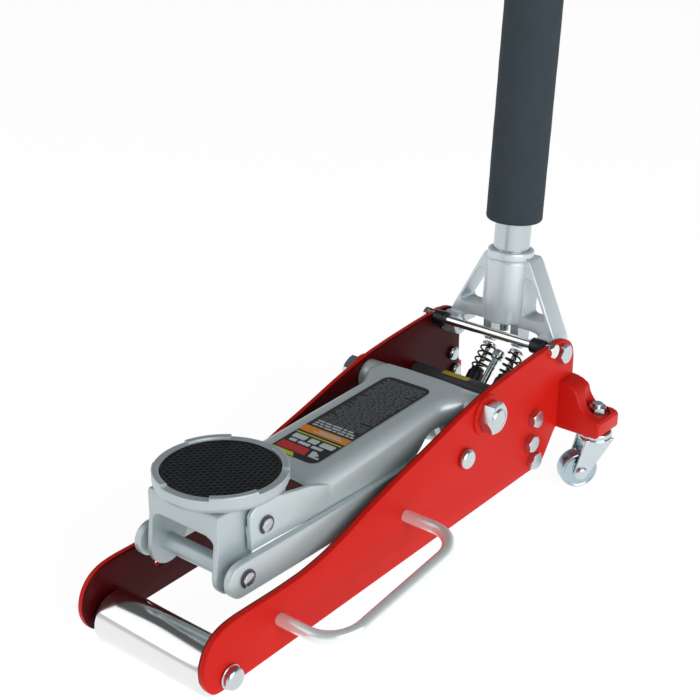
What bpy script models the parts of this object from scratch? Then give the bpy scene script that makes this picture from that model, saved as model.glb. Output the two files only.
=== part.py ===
"""Low-profile floor jack with an aluminium side-plate frame: every separate piece as its own solid.
Row frame: metres, +Z up, the nose with its roller towards -Y, the handle towards +Y, the jack's left side +X.
Dimensions below are in millimetres; along the jack they are counted from the front roller's axis."""
import math

import bmesh
import bpy
from mathutils import Matrix, Vector

MM = 0.001
X_SHIFT, Y_SHIFT = 7.5, 264.0   # put the row origin at the box's bottom centre; the jack's mid-plane is x = -7.5

# frame
PLATE_OUT, PLATE_IN = 72.0, 65.0
NOSE_TO_LOBE = [(-14, 13), (-21, 17), (-26, 26), (-28, 36), (-26, 47), (-21.5, 56), (-14.5, 63), (-4, 68),
                (10, 70), (60, 70.3), (90, 71.8), (115, 76), (140, 83), (165, 92), (192, 100.5), (215, 107.5),
                (240, 114), (265, 121), (290, 128.5), (315, 135), (345, 141.5), (380, 146), (420, 150),
                (455, 152.5), (468, 151.5), (478, 147.5), (485, 140), (488, 130), (488, 66), (484, 61.5),
                (463, 60.5), (459, 58), (442, 34), (437, 30.5), (428, 29)]
ROLLER_R, ROLLER_HALF = 23.0, 60.0
AXLE = (0.0, 23.0)
TIE = (444.6, 147.6)
PUMP_BOLTS = [(419, 86), (413, 62), (420, 41)]
BRACKET_BOLTS = [(474.8, 97), (480, 76)]
CARRY_FEET = [(57.8, 45), (219.6, 67.2)]
CARRY_REACH, CARRY_BEND, CARRY_R = 132.4, 30.0, 5.5
# lifting linkage, shown part-raised
MAIN = (337.0, 120.0)
LINK_BACK = (306.0, 88.5)
HEAD_UP = (72.0, 115.0)
HEAD_LOW = (41.0, 83.5)
CRANK_R, CRANK_DEG = 50.0, 18.5
ARM_HALF, ARM_T = 46.0, 4.5
# pump and handle
RAM_Z = 72.0
YOKE = (463.0, 139.0)
LEAN_DEG = 4.43
HANDLE_Y = 471.0
PLUNGER_DIR = (math.sqrt(0.5), math.sqrt(0.5))
PLUNGER_FACE = (438.0, 87.0)
PLUNGER_X = 16.0
CAM_PER_RAD = 12.0
# casters
CASTER = (104.0, 484.0)
CASTER_TRAIL, CASTER_DEG = 17.0, 38.0
WHEEL_R = 19.0
# saddle
SADDLE_Y, SADDLE_Z, SADDLE_R, PAD_R = 69.8, 138.0, 55.3, 48.6

for old in list(bpy.data.objects):
    bpy.data.objects.remove(old, do_unlink=True)
scene = bpy.context.scene
parts = bpy.data.collections.new("floor_jack")
tools = bpy.data.collections.new("cutters")
for group in (parts, tools):
    scene.collection.children.link(group)
tools.hide_render = True

LOOKS = {
    "red": ((0.62, 0.02, 0.02), 0.1, 0.3), "silver": ((0.62, 0.65, 0.66), 0.8, 0.35),
    "chrome": ((0.8, 0.8, 0.8), 1.0, 0.1), "zinc": ((0.66, 0.68, 0.7), 1.0, 0.3),
    "black": ((0.015, 0.015, 0.017), 0.0, 0.7), "rubber": ((0.02, 0.02, 0.025), 0.0, 0.85),
    "cast": ((0.32, 0.29, 0.26), 0.5, 0.6), "foam": ((0.07, 0.07, 0.075), 0.0, 0.95),
}


def material(name, look):
    color, metal, rough = LOOKS[look]
    mat = bpy.data.materials.new(name)
    mat.use_nodes = True
    shader = mat.node_tree.nodes["Principled BSDF"]
    shader.inputs["Base Color"].default_value = (*color, 1.0)
    shader.inputs["Metallic"].default_value = metal
    shader.inputs["Roughness"].default_value = rough
    return mat


def at(x, y, z):
    return Vector((x - X_SHIFT, y - Y_SHIFT, z)) * MM


def finish(name, bm, look=None, origin=(0, 0, 0), smooth=35.0):
    """Turn a bmesh built in row coordinates into an object whose origin is `origin` (mm, datum frame)."""
    bmesh.ops.remove_doubles(bm, verts=bm.verts, dist=0.00002)
    bmesh.ops.recalc_face_normals(bm, faces=bm.faces)
    pivot = at(*origin)
    bmesh.ops.translate(bm, verts=bm.verts, vec=-pivot)
    mesh = bpy.data.meshes.new(name)
    bm.to_mesh(mesh)
    bm.free()
    ob = bpy.data.objects.new(name, mesh)
    ob.location = pivot
    if look:
        parts.objects.link(ob)
        mesh.materials.append(material(name, look))
        mesh.shade_smooth()
        mesh.set_sharp_from_angle(angle=math.radians(smooth))
    else:
        tools.objects.link(ob)
        ob.display_type = "WIRE"
        ob.hide_render = True
    return ob


def prism(points, axis, low, high, bm=None, turn=None):
    """Extrude a closed outline. axis x takes (y, z) points, y takes (x, z), z takes (x, y)."""
    bm = bm or bmesh.new()
    order = {"x": lambda p, h: (h, p[0], p[1]), "y": lambda p, h: (p[0], h, p[1]),
             "z": lambda p, h: (p[0], p[1], h)}[axis]
    spin = turn or (lambda v: v)
    base = bm.faces.new([bm.verts.new(at(*spin(order(p, low)))) for p in points])
    grown = bmesh.ops.extrude_face_region(bm, geom=[base], use_keep_orig=True)
    top = [item for item in grown["geom"] if isinstance(item, bmesh.types.BMVert)]
    rise = at(*spin(order(points[0], high))) - at(*spin(order(points[0], low)))
    bmesh.ops.translate(bm, verts=top, vec=rise)
    return bm


def turned(profile, start, toward, steps=32, bm=None, phase=0.0):
    """Spin (radius, distance) points about the line from start towards `toward`."""
    bm = bm or bmesh.new()
    a, b = at(*start), at(*toward)
    axis = (b - a).normalized()
    side = Vector((0, 0, 1)) if abs(axis.x) > 0.9 else axis.orthogonal().normalized()
    side = Matrix.Rotation(2 * math.pi * phase / steps, 3, axis) @ side
    line = [bm.verts.new(a + (side * radius + axis * along) * MM) for radius, along in profile]
    edges = [bm.edges.new(pair) for pair in zip(line, line[1:])]
    if profile[0][0] > 0:
        edges.append(bm.edges.new((line[-1], line[0])))
    bmesh.ops.spin(bm, geom=line + edges, cent=a, axis=axis, angle=2 * math.pi, steps=steps, use_merge=True)
    return bm


def rod(start, end, radius, steps=24, chamfer=0.0, bm=None, phase=0.37):
    length = math.dist(start, end)
    if chamfer:
        profile = [(0, 0), (radius - chamfer, 0), (radius, chamfer), (radius, length - chamfer),
                   (radius - chamfer, length), (0, length)]
    else:
        profile = [(0, 0), (radius, 0), (radius, length), (0, length)]
    return turned(profile, start, end, steps, bm, phase)


def boolean(ob, cutter, operation="DIFFERENCE"):
    step = ob.modifiers.new(operation.lower(), "BOOLEAN")
    step.operation = operation
    step.solver = "EXACT"
    step.object = cutter
    return ob


def cut(ob, bm, label):
    return boolean(ob, finish("cut_" + label, bm))


def join(ob, bm, label):
    return boolean(ob, finish("add_" + label, bm), "UNION")


def bevel(ob, width, segments=2, angle=40.0):
    step = ob.modifiers.new("edges", "BEVEL")
    step.width = width * MM
    step.segments = segments
    step.limit_method = "ANGLE"
    step.angle_limit = math.radians(angle)
    step.use_clamp_overlap = True
    step.miter_outer = "MITER_ARC"
    return ob


def tube_path(points, radius, sides=10, closed_ends=True):
    """A round bar along a smooth path, as a mesh."""
    curve = bpy.data.curves.new("path", "CURVE")
    curve.dimensions = "3D"
    curve.bevel_depth = radius * MM
    curve.bevel_resolution = max(0, sides // 4 - 1)
    curve.use_fill_caps = closed_ends
    line = curve.splines.new("POLY")
    line.points.add(len(points) - 1)
    for spot, p in zip(line.points, points):
        spot.co = (*at(*p), 1.0)
    holder = bpy.data.objects.new("path", curve)
    scene.collection.objects.link(holder)
    graph = bpy.context.evaluated_depsgraph_get()
    mesh = bpy.data.meshes.new_from_object(holder.evaluated_get(graph))
    bm = bmesh.new()
    bm.from_mesh(mesh)
    bmesh.ops.remove_doubles(bm, verts=bm.verts, dist=0.00001)
    bpy.data.objects.remove(holder, do_unlink=True)
    return bm


def arc(centre, radius, first, last, count):
    return [(centre[0] + radius * math.cos(math.radians(first + (last - first) * i / count)),
             centre[1] + radius * math.sin(math.radians(first + (last - first) * i / count)))
            for i in range(count + 1)]


def capsule(a, b, ra, rb, count=10):
    """Outline around two circles joined by their outer tangents."""
    heading = math.degrees(math.atan2(b[1] - a[1], b[0] - a[0]))
    tilt = math.degrees(math.acos((ra - rb) / math.dist(a, b)))
    return (arc(a, ra, heading + tilt, heading + 360 - tilt, count)
            + arc(b, rb, heading - tilt, heading + tilt, count))


def mirrored(points):
    return list(points) + [(-x, z) for x, z in reversed(points) if abs(x) > 1e-6]


def lean(point):
    """Tilt a yoke point back with the handle about the yoke's pivot."""
    x, y, z = point
    c, s = math.cos(math.radians(LEAN_DEG)), math.sin(math.radians(LEAN_DEG))
    dy, dz = y - YOKE[0], z - YOKE[1]
    return (x, YOKE[0] + dy * c + dz * s, YOKE[1] - dy * s + dz * c)


def hex_head(start, end, radius, bm=None, phase=0.0):
    """Hexagon with a dished outer face, from start to its outer end."""
    length = math.dist(start, end)
    profile = [(0, 0), (radius, 0), (radius, length - 1.2), (radius - 1.6, length), (0, length)]
    return turned(profile, start, end, 6, bm, phase)


# ---------------------------------------------------------------- side plates
def side_plate(name, sign):
    low, high = sorted((sign * PLATE_IN, sign * PLATE_OUT))
    ob = bevel(finish(name, prism(NOSE_TO_LOBE, "x", low, high), "red"), 1.6, 2, 60)
    boss = turned([(0, 0), (19.5, 0), (19.5, 2), (18.5, 3), (0, 3)], (sign * (PLATE_OUT - 0.5), *MAIN),
                  (sign * 90, *MAIN), 24)
    join(ob, boss, name + "_boss")
    holes = [(AXLE, 6.3), (MAIN, 10.3), (LINK_BACK, 6.3), (TIE, 4.8), (YOKE, 6.3)]
    holes += [(p, 5.3) for p in PUMP_BOLTS] + [(p, 4.3) for p in BRACKET_BOLTS] + [(p, 5.8) for p in CARRY_FEET]
    for i, (spot, radius) in enumerate(holes):
        cut(ob, rod((sign * 60, *spot), (sign * 80, *spot), radius, 14), f"{name}_{i}")
    return ob


for side, sign in (("left", 1), ("right", -1)):
    side_plate("side_plate_" + side, sign)

# ---------------------------------------------------------------- front roller and its axle
bore = [(6.5, 0), (ROLLER_R - 1.5, 0), (ROLLER_R, 1.5), (ROLLER_R, 2 * ROLLER_HALF - 1.5),
        (ROLLER_R - 1.5, 2 * ROLLER_HALF), (6.5, 2 * ROLLER_HALF)]
finish("front_roller", turned(bore, (-ROLLER_HALF, *AXLE), (ROLLER_HALF, *AXLE), 40), "chrome", (0, *AXLE))
axle = rod((-82, *AXLE), (73.5, *AXLE), 6.0, 20, 0.8)
axle_ob = finish("front_axle_bolt", axle, "zinc", (0, *AXLE))
join(axle_ob, turned([(0, 0), (10.5, 0), (10.5, 1.6), (9.6, 1.7), (9.6, 5.5), (8.2, 7.4), (5, 8.4), (0, 8.8)],
                     (72.3, *AXLE), (90, *AXLE), 20), "axle_head")
nut = finish("front_axle_nut", hex_head((-72.3, *AXLE), (-80.3, *AXLE), 10.2), "zinc", (0, *AXLE))
cut(nut, rod((-90, *AXLE), (-60, *AXLE), 6.3, 20), "axle_nut")

# ---------------------------------------------------------------- lifting arm
def arm_section(y):
    top = 119.4 + 0.055 * y
    wide = [(0, ARM_HALF), (300, ARM_HALF), (312, 51.5), (319, 56), (327, 58.6), (334, 58), (340, 54)]
    foot = [(0, 98.4), (54, 98.4), (150, 94.5), (262, 93.5), (285, 113), (400, 113)]
    half, low = (next(a[1] + (b[1] - a[1]) * (y - a[0]) / (b[0] - a[0])
                      for a, b in zip(table, table[1:]) if a[0] <= y <= b[0]) for table in (wide, foot))
    left = [(half, low), (half, top - 16)] + arc((half - 8, top - 8), 8, 0, 90, 3)
    return [(x, y, z) for x, z in left] + [(-x, y, z) for x, z in reversed(left)]


stations = [54.5, 160, 262, 285, 300, 312, 319, 327, 334, 340]
bm = bmesh.new()
rows = [[bm.verts.new(at(*p)) for p in arm_section(y)] for y in stations]
for back, front in zip(rows, rows[1:]):
    for i in range(len(back) - 1):
        bm.faces.new((back[i], back[i + 1], front[i + 1], front[i]))
arm = finish("lift_arm", bm, "silver", (0, *MAIN))
skin = arm.modifiers.new("wall", "SOLIDIFY")
skin.thickness = ARM_T * MM
skin.offset = -1.0
skin.use_even_offset = True
mouth = [(-40.5, 20), (40.5, 20), (40.5, 126), (34, 131), (-34, 131), (-40.5, 126)]
cut(arm, prism(mouth, "z", 100, 150), "arm_mouth")
join(arm, rod((-64.5, *MAIN), (64.5, *MAIN), 16.0, 32), "arm_tube")
for sign in (-1, 1):
    cheek = [(54.6, 100)] + arc(HEAD_UP, 22.2, 142, 78, 5) + [(98, 132.4), (126, 126.5), (150, 118), (150, 100)]
    plate = finish(f"add_cheek_{sign + 1}", prism(cheek, "x", *sorted((sign * 41.7, sign * 46.1))))
    boolean(arm, bevel(plate, 1.5, 1, 60), "UNION")
crank = (MAIN[0] + CRANK_R * math.sin(math.radians(CRANK_DEG)), MAIN[1] - CRANK_R * math.cos(math.radians(CRANK_DEG)))
for sign in (-1, 1):
    join(arm, prism(capsule(MAIN, crank, 17, 10.5), "x", *sorted((sign * 17, sign * 25))), f"crank_{sign + 1}")
    cut(arm, rod((sign * 30, *HEAD_UP), (sign * 55, *HEAD_UP), 6.3, 20), f"arm_pin_{sign + 1}")
join(arm, rod((-27, *crank), (27, *crank), 6.5, 20, 1.0), "crank_pin")
cut(arm, rod((-80, *MAIN), (80, *MAIN), 10.3, 24), "arm_bore")

shaft = finish("main_pivot_bolt", rod((-90, *MAIN), (76, *MAIN), 10.0, 24, 1.2), "zinc", (0, *MAIN))
join(shaft, hex_head((74.9, *MAIN), (86.5, *MAIN), 15.6, phase=0.5), "pivot_head")
nut = finish("main_pivot_nut", hex_head((-74.9, *MAIN), (-86.5, *MAIN), 15.6), "zinc", (0, *MAIN))
cut(nut, rod((-95, *MAIN), (-60, *MAIN), 10.3, 24), "pivot_nut")

# ---------------------------------------------------------------- parallel links
for side, sign in (("left", 1), ("right", -1)):
    bar = arc((36, 83.4), 15, 90, 270, 8) + [(235, 67.6), (290, 77)] + arc(LINK_BACK, 14.5, -60, 90, 8) + [(235, 97)]
    link = finish("lower_link_" + side, prism(bar, "x", *sorted((sign * 47, sign * 54))), "silver", (0, *LINK_BACK))
    bevel(link, 1.2, 1)
    join(link, rod((sign * 53, *LINK_BACK), (sign * 64.6, *LINK_BACK), 11, 24), "link_boss_" + side)
    cut(link, rod((sign * 40, *LINK_BACK), (sign * 70, *LINK_BACK), 6.3, 20), "link_back_" + side)
    cut(link, rod((sign * 40, *HEAD_LOW), (sign * 70, *HEAD_LOW), 6.3, 20), "link_front_" + side)
    rivet = finish("link_rivet_" + side, rod((sign * 44.2, *LINK_BACK), (sign * 73, *LINK_BACK), 6.0, 16), "zinc",
                   (0, *LINK_BACK))
    join(rivet, turned([(0, 0), (9.8, 0), (9.8, 4.4), (7.6, 6.6), (0, 7.4)], (sign * 72.3, *LINK_BACK),
                       (sign * 90, *LINK_BACK), 20), "rivet_out_" + side)
    join(rivet, turned([(0, 0), (8.0, 0), (8.0, 1.5), (6.5, 2.5), (0, 2.5)], (sign * 46.7, *LINK_BACK),
                       (sign * 30, *LINK_BACK), 16), "rivet_in_" + side)

# ---------------------------------------------------------------- saddle head, pins and clips
outline = [(26.5, 137.7), (25.5, 134), (25.5, 114), (23.5, 100)] + arc(HEAD_LOW, 19, 170, 325, 8) + [(63, 90)] + \
    arc(HEAD_UP, 14, 250, 360, 6) + [(88, 120), (100, 125), (104, 129), (104, 137.7)]
head = bevel(finish("saddle_head", prism(outline, "x", -39, 39), "silver", (0, *HEAD_UP)), 4.2, 1, 50)
hollow = [(10, 40), (10, 117.5), (34, 118.5), (38, 121.5), (110, 121.5), (110, 40)]
cut(head, prism(hollow, "x", -34, 34), "head_hollow")
for sign in (-1, 1):
    corner = [(34.6, 118.6), (34.6, 105.5), (32.6, 111.8), (28.7, 115.2), (23.4, 116.4), (23.4, 118.6)]
    join(head, prism([(sign * x, z) for x, z in corner], "y", 25.8, 32.0), f"head_corner_{sign + 1}")
join(head, rod((-35, *HEAD_LOW), (35, *HEAD_LOW), 8, 24), "head_tube")
cut(head, rod((0, SADDLE_Y, 119), (0, SADDLE_Y, 145), 14.9, 32), "head_socket")
for label, spot in (("up", HEAD_UP), ("low", HEAD_LOW)):
    cut(head, rod((-60, *spot), (60, *spot), 6.3, 20), "head_pin_" + label)
for label, spot, reach in (("upper", HEAD_UP, 49.2), ("lower", HEAD_LOW, 57.2)):
    wall = reach - 3.0
    pin = finish("head_pin_" + label, rod((-wall - 0.1, *spot), (reach, *spot), 6.0, 16, 0.8), "zinc", (0, *spot))
    join(pin, turned([(0, 0), (8.2, 0), (8.2, 1.4), (7, 2.4), (0, 2.4)], (-wall - 0.1, *spot), (-90, *spot), 16),
         "pin_head_" + label)
    groove = turned([(4.9, 0), (8.5, 0), (8.5, 1.2), (4.9, 1.2)], (wall + 0.4, *spot), (90, *spot), 16)
    cut(pin, groove, "pin_groove_" + label)
    clip = arc(spot, 7.6, 300, 600, 16) + arc(spot, 5.2, 600, 300, 12)
    finish("pin_clip_" + label, prism(clip, "x", wall + 0.55, wall + 1.45), "black", (0, *spot))

# ---------------------------------------------------------------- saddle and pad
cup = [(0, -14), (14.5, -14), (14.5, 0), (51, 0), (53.6, 1.6), (SADDLE_R, 5.5), (SADDLE_R, 14.7), (54.3, 15.5),
       (50.2, 15.5), (49.1, 14.4), (49.1, 5.7), (0, 5.7)]
seat = (0, SADDLE_Y, SADDLE_Z)
saddle = finish("saddle", turned(cup, seat, (0, SADDLE_Y, 200), 40), "silver", seat)
for i, first in enumerate((-13, 77, 167, 257)):
    notch = arc((0, SADDLE_Y), 60, first, first + 48, 4) + arc((0, SADDLE_Y), 48, first + 48, first, 4)
    cut(saddle, prism(notch, "z", SADDLE_Z + 12.9, SADDLE_Z + 20), f"rim_{i}")
pad = [(0, 0), (PAD_R, 0), (PAD_R, 6.2), (PAD_R - 1.2, 7.4), (0, 7.4)]
finish("saddle_pad", turned(pad, (0, SADDLE_Y, SADDLE_Z + 6), (0, SADDLE_Y, 200), 40), "rubber", seat)

# ---------------------------------------------------------------- power unit
block = [(402, 31), (402, 104), (406, 108), (417, 108), (453, 72), (455, 40), (447, 31)]
body = bevel(finish("pump_body", prism(block, "x", -64.7, 64.7), "cast"), 2.0, 1, 30)
cut(body, rod((0, 390, RAM_Z), (0, 447.5, RAM_Z), 12.4, 28), "ram_bore")
for sign in (-1, 1):
    for i, spot in enumerate(PUMP_BOLTS):
        cut(body, rod((sign * 70, *spot), (sign * 46, *spot), 5.3, 16), f"body_bolt_{sign + 1}_{i}")
    start = (sign * PLUNGER_X, PLUNGER_FACE[0] - 20 * PLUNGER_DIR[0], PLUNGER_FACE[1] - 20 * PLUNGER_DIR[1])
    stop = (sign * PLUNGER_X, PLUNGER_FACE[0] + 9, PLUNGER_FACE[1] + 9)
    cut(body, rod(start, stop, 4.4, 16), f"plunger_bore_{sign + 1}")
valve = (433.0, 90.7)
rod_dir = (0.7495, 0.662)
along = lambda d: (0, valve[0] + rod_dir[0] * d, valve[1] + rod_dir[1] * d)
cut(body, rod(along(-6), along(10), 4.8, 16), "valve_bore")

barrel = [(12.4, 0), (19, 0), (21, 2), (21, 17.7), (12.4, 17.7)]
finish("ram_cylinder", turned(barrel, (0, 384, RAM_Z), (0, 450, RAM_Z), 32), "zinc", (0, 384, RAM_Z))
push = crank[0] + 6.5 + 0.4
ram = finish("ram_rod", rod((0, push + 6, RAM_Z), (0, 434, RAM_Z), 12.0, 24, 0.8), "chrome", (0, push, RAM_Z))
join(ram, turned([(0, 0), (14.5, 0), (15, 0.8), (15, 7.5), (12, 8), (0, 8)], (0, push, RAM_Z), (0, 450, RAM_Z), 24),
     "ram_pad")
for side, sign in (("left", 1), ("right", -1)):
    for i, spot in enumerate(PUMP_BOLTS):
        bolt = finish(f"pump_bolt_{side}_{i + 1}", rod((sign * 48, *spot), (sign * 73, *spot), 5.0, 16), "zinc",
                      (sign * 72, *spot))
        join(bolt, hex_head((sign * 72.3, *spot), (sign * 79, *spot), 9.0), f"bolt_head_{side}_{i}")
    u = Vector((0, *PLUNGER_DIR))
    face = Vector((sign * PLUNGER_X, *PLUNGER_FACE))
    point = lambda d: tuple(face + u * d)
    gland = [(4.4, 0.2), (8.2, 0.2), (8.2, 15), (6.8, 17), (6.8, 20.5), (4.4, 20.5)]
    finish("plunger_gland_" + side, turned(gland, tuple(face), point(10), 24), "black", tuple(face))
    plunger = [(0, -3), (4.1, -3), (4.1, 25), (3.0, 26), (3.0, 46), (8.0, 46.4), (8.0, 48.2), (7.0, 49.2), (0, 49.2)]
    finish("plunger_" + side, turned(plunger, tuple(face), point(10), 24), "black", point(49.2))
    turns, wire, coil = 3.5, 0.95, 7.0
    side_axis, up_axis = Vector((1, 0, 0)), Vector((0, -PLUNGER_DIR[1], PLUNGER_DIR[0]))
    path = []
    for k in range(int(turns * 10) + 1):
        angle = 2 * math.pi * k / 10
        spot = face + u * (21.8 + (45.0 - 21.8) * k / (turns * 10))
        path.append(tuple(spot + side_axis * coil * math.cos(angle) * sign + up_axis * coil * math.sin(angle)))
    finish("pump_spring_" + side, tube_path(path, wire, 8), "black", point(21))

stem = finish("release_rod", rod(along(-5), along(36), 3.6, 12), "zinc", along(40))
join(stem, turned([(0, 0), (5.0, 0), (6.0, 1), (6.0, 9), (5, 10), (0, 10)], along(34), along(60), 20), "coupler")

# ---------------------------------------------------------------- tie rod and its sleeves
tie = finish("tie_rod", rod((-73, *TIE), (73, *TIE), 4.5, 20), "chrome", (0, *TIE))
for side, sign in (("left", 1), ("right", -1)):
    join(tie, hex_head((sign * 72.3, *TIE), (sign * 77, *TIE), 7.6), "tie_head_" + side)
    sleeve = [(4.8, 0), (6.6, 0), (7.6, 1), (7.6, 14.4), (4.8, 14.4)]
    finish("tie_sleeve_" + side, turned(sleeve, (sign * 50, *TIE), (sign * 90, *TIE), 24), "black", (0, *TIE))

# ---------------------------------------------------------------- handle yoke
half = [(0, 221), (24, 221), (27, 218), (58, 158), (63.3, 147), (63.3, 139), (46.5, 139), (45, 146), (40, 150), (0, 151)]
yoke = bevel(finish("handle_yoke", prism(mirrored(half), "y", 463.5, 488.7, turn=lean), "silver", (0, *YOKE)), 2.0, 1, 25)
tilted = lambda y, z, x=0.0: lean((x, y, z))
join(yoke, turned([(0, 0), (20.5, 0), (22, 1.5), (22, 64), (22.8, 65), (22.8, 71.6), (21.6, 73), (0, 73)],
                  tilted(HANDLE_Y, 154), tilted(HANDLE_Y, 240), 28), "yoke_hub")
for sign in (-1, 1):
    join(yoke, rod((sign * 46.5, *YOKE), (sign * 63.3, *YOKE), 11.3, 28, phase=0.25), f"yoke_boss_{sign + 1}")
    window = [(sign * x, z) for x, z in ((23.5, 166), (26, 162.5), (48, 162.5), (50.5, 166.5), (31.5, 201), (27, 203.5), (23.5, 200))]
    cut(yoke, prism(window, "y", 455, 495, turn=lean), f"yoke_window_{sign + 1}")
    profile = []
    for k in range(8):
        phi = 1.19 * k / 7
        push_out = 3.8 + CAM_PER_RAD * phi
        toward = (-math.sqrt(0.5) * (math.cos(phi) - math.sin(phi)), -math.sqrt(0.5) * (math.cos(phi) + math.sin(phi)))
        slide = (-toward[1], toward[0])
        profile.append((YOKE[0] + push_out * toward[0] + CAM_PER_RAD * slide[0],
                        YOKE[1] + push_out * toward[1] + CAM_PER_RAD * slide[1]))
    cam = [(465, 152), (465.2, 134)] + profile + [(485, 134), (487, 152)]
    join(yoke, prism(cam, "x", *sorted((sign * 11.5, sign * 20.5))), f"yoke_cam_{sign + 1}")
    cut(yoke, rod((sign * 40, *YOKE), (sign * 70, *YOKE), 6.3, 20), f"yoke_pivot_{sign + 1}")
cut(yoke, rod(tilted(HANDLE_Y, 168), tilted(HANDLE_Y, 245), 18.1, 28), "yoke_socket")
cut(yoke, rod(tilted(HANDLE_Y, 140), tilted(HANDLE_Y, 170), 10.5, 20), "yoke_drain")
for side, sign in (("left", 1), ("right", -1)):
    bolt = finish("yoke_bolt_" + side, rod((sign * 47, *YOKE), (sign * 73, *YOKE), 6.0, 20), "zinc", (0, *YOKE))
    join(bolt, hex_head((sign * 72.3, *YOKE), (sign * 79.3, *YOKE), 10.0, phase=0.5), "yoke_bolt_head_" + side)

# ---------------------------------------------------------------- handle
def on_handle(z):
    return tilted(HANDLE_Y, z)


tube = [(0, 0), (4.5, 0), (4.5, 26), (16.5, 26.4), (17.7, 28), (17.7, 480), (15.6, 480), (15.6, 30), (0, 30)]
finish("handle_tube_lower", turned(tube, on_handle(142), on_handle(1000), 28), "silver", on_handle(142))
upper = [(13.2, 0), (15.2, 0), (15.2, 452), (14, 454), (0, 454), (0, 452), (13.2, 452)]
finish("handle_tube_upper", turned(upper, on_handle(545), on_handle(1000), 28), "silver", on_handle(545))
foam = [(18.0, 4.2), (24.5, 4.2), (27.4, 7.7), (27.4, 296), (24.5, 300), (18.0, 300)]
finish("foam_sleeve", turned(foam, on_handle(251), on_handle(1000), 32), "foam", on_handle(251))
grip = [(0, 129.5), (15.5, 129.5), (15.5, 0), (18.2, 0), (19, 1), (19, 129), (17, 132), (0, 132)]
finish("handle_grip", turned(grip, on_handle(870), on_handle(1000), 28), "rubber", on_handle(870))

# ---------------------------------------------------------------- carry handle on the left plate
(y0, z0), (y1, z1) = CARRY_FEET
slope = (z1 - z0) / (y1 - y0)
corners = [((CARRY_REACH - CARRY_BEND, y0 + CARRY_BEND), -90, 0), ((CARRY_REACH - CARRY_BEND, y1 - CARRY_BEND), 0, 90)]
path = [(65.3, y0)] + [p for middle, first, last in corners for p in arc(middle, CARRY_BEND, first, last, 7)] + [(65.3, y1)]
bar = tube_path([(x, y, z0 + slope * (y - y0)) for x, y in path], CARRY_R, 16)
finish("carry_handle", bar, "silver", (72, y0, z0))

# ---------------------------------------------------------------- caster brackets and casters
def spun(point):
    """Turn a caster point about its swivel axis."""
    x, y, z = point
    a = math.radians(-CASTER_DEG)
    return (CASTER[0] + x * math.cos(a) - y * math.sin(a), CASTER[1] + x * math.sin(a) + y * math.cos(a), z)


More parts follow.
